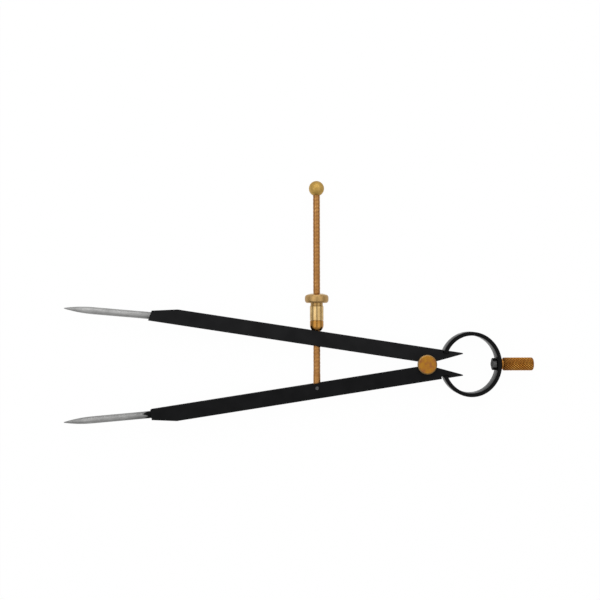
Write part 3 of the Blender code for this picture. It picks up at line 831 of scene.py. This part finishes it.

# %% [markdown]
# ## The adjusting nut
# The photograph shows a polished barrel, a shallow undercut darkened with painted shade, and a
# wide flange to turn with a fingertip. The flange's rim is nearly straight, rounded off at both
# ends, and has a fine, shallow knurl. The same lathe and knurl make it.

# %% Make the adjusting nut
BORE_RADIUS = 1.54 * MM
BARREL_RADIUS, NECK_RADIUS, FLANGE_RADIUS = 2.9 * MM, 2.62 * MM, 5.02 * MM
SHELF_RADIUS = 4.2 * MM  # where the flange's flat sides end and its rim begins
CROWN_RADII = (2.8 * MM, 2.6 * MM)  # of the shallow crown on top
RIM_BULGE = 0.42 * MM
NUT_COLUMNS, NUT_ROWS = 72, 6
NUT_KNURL_DEPTH = 0.07 * MM
NUT_SINK = 0.1 * MM
rim_low, rim_high = NUT_FOOT + 0.3 * MM, NUT_FOOT + 3.3 * MM
nut_length = NUT_END - NUT_START
rim = []
for height in spread(rim_low, rim_high, NUT_ROWS):
    off_middle = (height - (rim_low + rim_high) / 2) / (rim_high - rim_low) * 2
    rim.append((FLANGE_RADIUS - RIM_BULGE * off_middle**4, height))
nut = lathe(
    "adjusting_nut_turned",
    [
        (BORE_RADIUS, -NUT_SINK),
        (BARREL_RADIUS - 0.06 * MM, -NUT_SINK),
        (BARREL_RADIUS, 0.05 * MM - NUT_SINK),
        (BARREL_RADIUS, NUT_FOOT - 1.36 * MM),
        (BARREL_RADIUS - 0.05 * MM, NUT_FOOT - 1.28 * MM),
        (NECK_RADIUS, NUT_FOOT - 1.14 * MM),
        (NECK_RADIUS, NUT_FOOT + 0.05 * MM),
        (SHELF_RADIUS, NUT_FOOT + 0.05 * MM),
        *rim,
        (SHELF_RADIUS, NUT_FOOT + 3.5 * MM),
        (CROWN_RADII[0], nut_length - 0.05 * MM),
        (CROWN_RADII[1], nut_length),
        (BORE_RADIUS + 0.2 * MM, nut_length),
        (BORE_RADIUS, nut_length - 0.2 * MM),
        (BORE_RADIUS, -NUT_SINK),
    ],
    NUT_COLUMNS,
)
knurl(nut, FLANGE_RADIUS, rim_low, rim_high, NUT_ROWS, NUT_COLUMNS, NUT_KNURL_DEPTH)
nut.rotation_euler = ALONG_Y
nut.location = (SCREW_X, NUT_START, PLANE)
settle(nut, 25)
dress(nut, nut_brass, "nut", "polished_brass", "adjusting_nut")

# %% [markdown]
# ## The fulcrum stud
# The stud, the ball and the washer are round pieces whose CAD outlines are right but made of few
# flat facets. The lathe makes them again with about a hundred steps, so that their highlights run
# smoothly. The stud is a spool: a chamfered head, the waist that the legs roll on, and a smaller
# head at the back.

# %% Make the fulcrum stud
FINE_STEPS = 96
HEAD_RADIUS, BACK_RADIUS, WAIST_RADIUS = 4.1 * MM, 3.2 * MM, 2.0 * MM
HEAD_THICKNESS, CHAMFER, CHAMFER_HEIGHT = 1.25 * MM, 0.5 * MM, 0.3 * MM
EDGE_BREAK = 0.06 * MM
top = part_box("fulcrum_stud")[1].z
stud_head = lathe(
    "fulcrum_stud_turned",
    [
        (0.0, 0.0),
        (BACK_RADIUS - CHAMFER, 0.0),
        (BACK_RADIUS, CHAMFER_HEIGHT),
        (BACK_RADIUS, HEAD_THICKNESS),
        (WAIST_RADIUS, HEAD_THICKNESS),
        (WAIST_RADIUS, top - HEAD_THICKNESS),
        (HEAD_RADIUS, top - HEAD_THICKNESS),
        (HEAD_RADIUS, top - CHAMFER_HEIGHT),
        (HEAD_RADIUS - EDGE_BREAK, top - CHAMFER_HEIGHT + EDGE_BREAK),
        (HEAD_RADIUS - CHAMFER, top),
        (0.0, top),
    ],
    FINE_STEPS,
)
settle(stud_head, 25)
dress(stud_head, fulcrum_brass, "bow", "turned_brass", "fulcrum_stud")

# %% [markdown]
# ## The ball and the washer
# Round faces need an arc in their outline. The ball's is a half circle that starts where it meets
# the end of the screw. The washer's is a quarter circle that starts at its bore, and this round
# nose rocks in the leg. A fine groove parts the washer from the barrel above it.


# %% Make the ball and the washer
def arc(radius, start, end, steps):
    """(radius, height) along an arc about a centre at height 0. Angles run from the foot up."""
    angles = [math.radians(a) for a in spread(start, end, steps)]
    return [(radius * math.sin(a), -radius * math.cos(a)) for a in angles]


ball_low, ball_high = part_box("screw_ball")
ball_radius = (ball_high.x - ball_low.x) / 2
foot_angle = math.degrees(math.asin(THREAD_CREST / ball_radius))
dome = arc(ball_radius, foot_angle, 180.0, 40)
dome[-1] = (0.0, ball_radius)
ball = lathe("screw_ball_turned", [(0.0, dome[0][1]), *dome], FINE_STEPS)
ball.rotation_euler = ALONG_Y
ball.location = (SCREW_X, ball_high.y - ball_radius, PLANE)
settle(ball, 40)
dress(ball, ball_brass, "screw", "polished_brass", "screw_ball")

WASHER_SKIRT = 2.0 * MM
GROOVE_RADIUS, GROOVE_HEIGHT = 2.72 * MM, 0.2 * MM
WASHER_EDGE = 0.05 * MM
washer_low, washer_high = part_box("ball_washer")
washer_radius = (washer_high.x - washer_low.x) / 2
bore_angle = math.degrees(math.asin(BORE_RADIUS / washer_radius))
round_nose = arc(washer_radius, bore_angle, 90.0, 20)
washer = lathe(
    "ball_washer_turned",
    [
        *round_nose,
        (washer_radius, WASHER_SKIRT - GROOVE_HEIGHT - WASHER_EDGE),
        (washer_radius - WASHER_EDGE, WASHER_SKIRT - GROOVE_HEIGHT),
        (GROOVE_RADIUS, WASHER_SKIRT - GROOVE_HEIGHT),
        (GROOVE_RADIUS, WASHER_SKIRT),
        (BORE_RADIUS, WASHER_SKIRT),
        round_nose[0],
    ],
    FINE_STEPS,
)
washer.rotation_euler = ALONG_Y
washer.location = (SCREW_X, washer_high.y - WASHER_SKIRT, PLANE)
settle(washer, 40)
dress(washer, washer_brass, "washer", "turned_brass", "ball_washer")

# %% [markdown]
# ## The stud inside the bow
# A short threaded stud holds the handle to the bow, and its end stands out of the black nut. The
# same winding makes it. Only about two turns show, so its real pitch, 0.45 mm, can stay. A real
# thread is cut into a bar whose end was chamfered first, so what stays of the winding is its
# boolean intersection with such a bar.

# %% Make the handle's stud
STUD_ROOT, STUD_CREST, STUD_PITCH = 0.98 * MM, 1.2 * MM, 0.45 * MM
STUD_SPARE = 0.4 * MM  # wound beyond each end of the bar
BAR_RADIUS, BAR_END_RADIUS, BAR_CHAMFER = 1.21 * MM, 0.95 * MM, 0.2 * MM
stud_length = STUD_END - STUD_START
stud = wind_thread(
    "bow_stud_threaded", STUD_ROOT, STUD_CREST, STUD_PITCH, stud_length + 2 * STUD_SPARE, 6, 20
)
stud.location.z = -STUD_SPARE
bar = lathe(
    "chamfered_bar",
    [
        (0.0, 0.0),
        (BAR_END_RADIUS, 0.0),
        (BAR_RADIUS, BAR_CHAMFER),
        (BAR_RADIUS, stud_length),
        (0.0, stud_length),
    ],
    40,
)
combine(stud, bar, "INTERSECT")
stud.rotation_euler = ALONG_X
stud.location = (STUD_START, 0.0, PLANE)
settle(stud, 40)
dress(stud, highlit_black, "bow", "black_steel", "handle_stud")

# %% [markdown]
# ## The bow
# The bow is the spring itself, so it bends when the legs swing: its handle end stays, and each of
# its two ends goes with its own leg. Here it is made as two halves, which meet behind the nut;
# neither half is attached to a leg, so they don't follow the legs.
# Each half starts as a circle of points, is scaled to the slight oval of the real ring, cut down
# to its own side, drawn up into a wall, and given its thickness with Solidify. A swept profile
# would do as well, but here the thickness stays even all round the oval. One end is cut parallel
# to the floor of the leg's notch, which it presses on, the other one where the halves meet, and a
# boolean drills the hole for the handle's stud.

# %% Make the two halves of the bow
BOW_THICKNESS = 1.6 * MM
BOW_EDGE = 0.08 * MM
BOW_POINTS = 192
bow_centre_x = 18.77 * MM
half_long = BOW_HIGH.x - bow_centre_x - BOW_THICKNESS / 2
half_tall = BOW_HIGH.y - BOW_THICKNESS / 2
NOTCH_FLOOR = 5.98 * MM  # from the fulcrum's axis, square to the leg
END_ANGLE = math.radians(159.0)
SPARE_ANGLE = math.radians(4.0)  # beyond both ends, to be cut off flat
STUD_HOLE_RADIUS = 1.35 * MM


def make_bow_half(name, side):
    """side is 1 for the half above the handle and -1 for the one below it."""
    object_mode()
    bpy.ops.mesh.primitive_circle_add(vertices=BOW_POINTS, radius=1.0)
    half = bpy.context.object
    half.name = name
    edit_all()
    bpy.ops.transform.resize(value=(half_long, half_tall, 1.0), center_override=(0, 0, 0))

    def is_waste(vertex):
        angle = math.atan2(side * vertex.co.y / half_tall, vertex.co.x / half_long)
        return not -SPARE_ANGLE < angle < END_ANGLE + SPARE_ANGLE

    pick(half, "VERT", is_waste)
    bpy.ops.mesh.delete(type="VERT")
    bpy.ops.mesh.select_all(action="SELECT")
    width = BOW_HIGH.z - BOW_LOW.z
    bpy.ops.mesh.extrude_region_move(TRANSFORM_OT_translate={"value": (0, 0, width)})
    bpy.ops.object.mode_set(mode="OBJECT")
    wall = half.modifiers.new("strip", "SOLIDIFY")
    wall.thickness = BOW_THICKNESS
    wall.offset = 0.0
    wall.use_even_offset = True
    activate(half)
    bpy.ops.object.modifier_apply(modifier=wall.name)

    def is_long_edge(edge):
        """It lies level and follows the oval, so both its ends are about as far out."""
        a, b = (half.data.vertices[i].co for i in edge.vertices)
        level = abs(a.z - b.z) < MERGE_DISTANCE
        reach = math.hypot(a.x / half_long, a.y / half_tall)
        other = math.hypot(b.x / half_long, b.y / half_tall)
        return level and abs(reach - other) < 0.02

    pick(half, "EDGE", is_long_edge)
    bpy.ops.mesh.bevel(offset=BOW_EDGE, segments=2)
    outward = Vector((math.sin(LEG_ANGLE), side * math.cos(LEG_ANGLE), 0.0))
    at_notch = outward * NOTCH_FLOOR - Vector((bow_centre_x, 0.0, 0.0))
    for far_side, place, normal in ((-1, at_notch, outward), (1, (0, 0, 0), (0, side, 0))):
        pick(half, "FACE", lambda face: face.center.x * far_side > 0)
        bpy.ops.mesh.bisect(
            plane_co=place,
            plane_no=normal,
            use_fill=True,
            clear_inner=True,
            threshold=CUT_THRESHOLD,
        )
    object_mode()
    bpy.ops.mesh.primitive_cylinder_add(
        vertices=48,
        radius=STUD_HOLE_RADIUS,
        depth=6 * MM,
        location=(half_long, 0.0, width / 2),
        rotation=ALONG_X,
    )
    combine(half, bpy.context.object, "DIFFERENCE")
    half.location = (bow_centre_x, 0.0, BOW_LOW.z)
    settle(half, 25)
    dress(half, spring_black, None, "spring_steel", "bow_spring")
    return half


for name, side, leg in (("bow_upper_half", 1, "upper_leg"), ("bow_lower_half", -1, "lower_leg")):
    half = make_bow_half(name, side)
    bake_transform(half)
print("bow", round(2 * (half_tall + BOW_THICKNESS / 2) / MM, 2), "mm tall")

# %% [markdown]
# ## Finishes on the CAD pieces
# The legs, the needles, the pin and the hexagon nut have their true shape already, so they keep it
# and only get their finish.

# %% Paint the CAD pieces
pin_steel = make_ground_steel("peened_pin_steel", 0.0, ("#484848", "#565656", "#646464"))
finishes = {
    "leg_upper": upper_black,
    "leg_lower": shaded_lower_black,
    "handle_nut": highlit_black,
    "point_upper": upper_steel,
    "point_lower": shaded_lower_steel,
    "cross_pin": pin_steel,
}
for name, material in finishes.items():
    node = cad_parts[name]
    for slot_number in range(len(node.material_slots)):
        node.material_slots[slot_number].material = material
    print(name, "->", material.name)

# %% [markdown]
# ## The table and the light
# The photograph has a pure white ground and almost no shadow. The table is white, and where the
# camera or a reflection looks at it, most of its white is its own, so that it stays clean and
# keeps only a breath of shadow. The light is soft: a bright window on the left, a weaker one on
# the right, one beyond the tool, and a dim room. On the brass barrel the first two make the light
# bands, with the dimmer ceiling between them, and the third one lights the upper side of the
# handle.

# %% Build the table
FLOOR_SHARE = 0.98
floor_z = cad_box[0][2]
object_mode()
bpy.ops.mesh.primitive_grid_add(
    size=6.0, x_subdivisions=2, y_subdivisions=2, location=(0, 0, floor_z)
)
table = bpy.context.object
table.name = "white_table"
bpy.ops.object.transform_apply(location=True)
table_white = bpy.data.materials.new("white_table_paper")
table_white.use_nodes = True
tree = table_white.node_tree
tree.nodes.clear()
paper = add(tree, "BsdfDiffuse", {"Color": colour("#F2F2F2")})
glow = add(tree, "Emission", {"Color": (1, 1, 1, 1), "Strength": 1.0})
seen = add(tree, "LightPath").outputs
looked_at = {0: seen["Is Camera Ray"], 1: seen["Is Glossy Ray"]}
either = add(tree, "Math", looked_at, operation="MAXIMUM")
share = add(tree, "Math", {0: either.outputs[0], 1: FLOOR_SHARE}, operation="MULTIPLY")
mixed = add(tree, "MixShader", {0: share.outputs[0], 1: paper.outputs[0], 2: glow.outputs[0]})
add(tree, "OutputMaterial", {"Surface": mixed.outputs[0]})
table.data.materials.append(table_white)
print("table at", round(floor_z / MM, 2), "mm")

# %% Light the room
ROOM_LIGHT = 0.52
LAMP_TARGET = Vector((-0.05, 0.02, PLANE))
world = bpy.data.worlds.new("dim_room")
world.use_nodes = True
bpy.context.scene.world = world
tree = world.node_tree
tree.nodes.clear()
room = add(tree, "Background", {"Color": colour("#FFFFFF"), "Strength": ROOM_LIGHT})
white = add(tree, "Background", {"Color": (1, 1, 1, 1), "Strength": 1.0})
seen = add(tree, "LightPath").outputs["Is Camera Ray"]
mixed = add(tree, "MixShader", {0: seen, 1: room.outputs[0], 2: white.outputs[0]})
add(tree, "OutputWorld", {"Surface": mixed.outputs[0]})


def add_window(name, place, size, watts):
    """A soft rectangular lamp that faces the tool."""
    data = bpy.data.lights.new(name, "AREA")
    data.shape = "RECTANGLE"
    data.size, data.size_y = size
    data.energy = watts
    lamp = bpy.data.objects.new(name, data)
    bpy.context.scene.collection.objects.link(lamp)
    lamp.location = place
    aim = LAMP_TARGET - lamp.location
    lamp.rotation_euler = aim.to_track_quat("-Z", "Y").to_euler()
    print(name, watts, "W")


add_window("left_window", (-0.62, 0.05, 0.85), (1.5, 0.80), 3.9)
add_window("right_window", (0.52, 0.0, 0.85), (1.5, 0.80), 2.8)
add_window("far_window", (-0.05, 0.80, 0.60), (1.2, 0.6), 4.5)

# %% Finish
print("scene built")
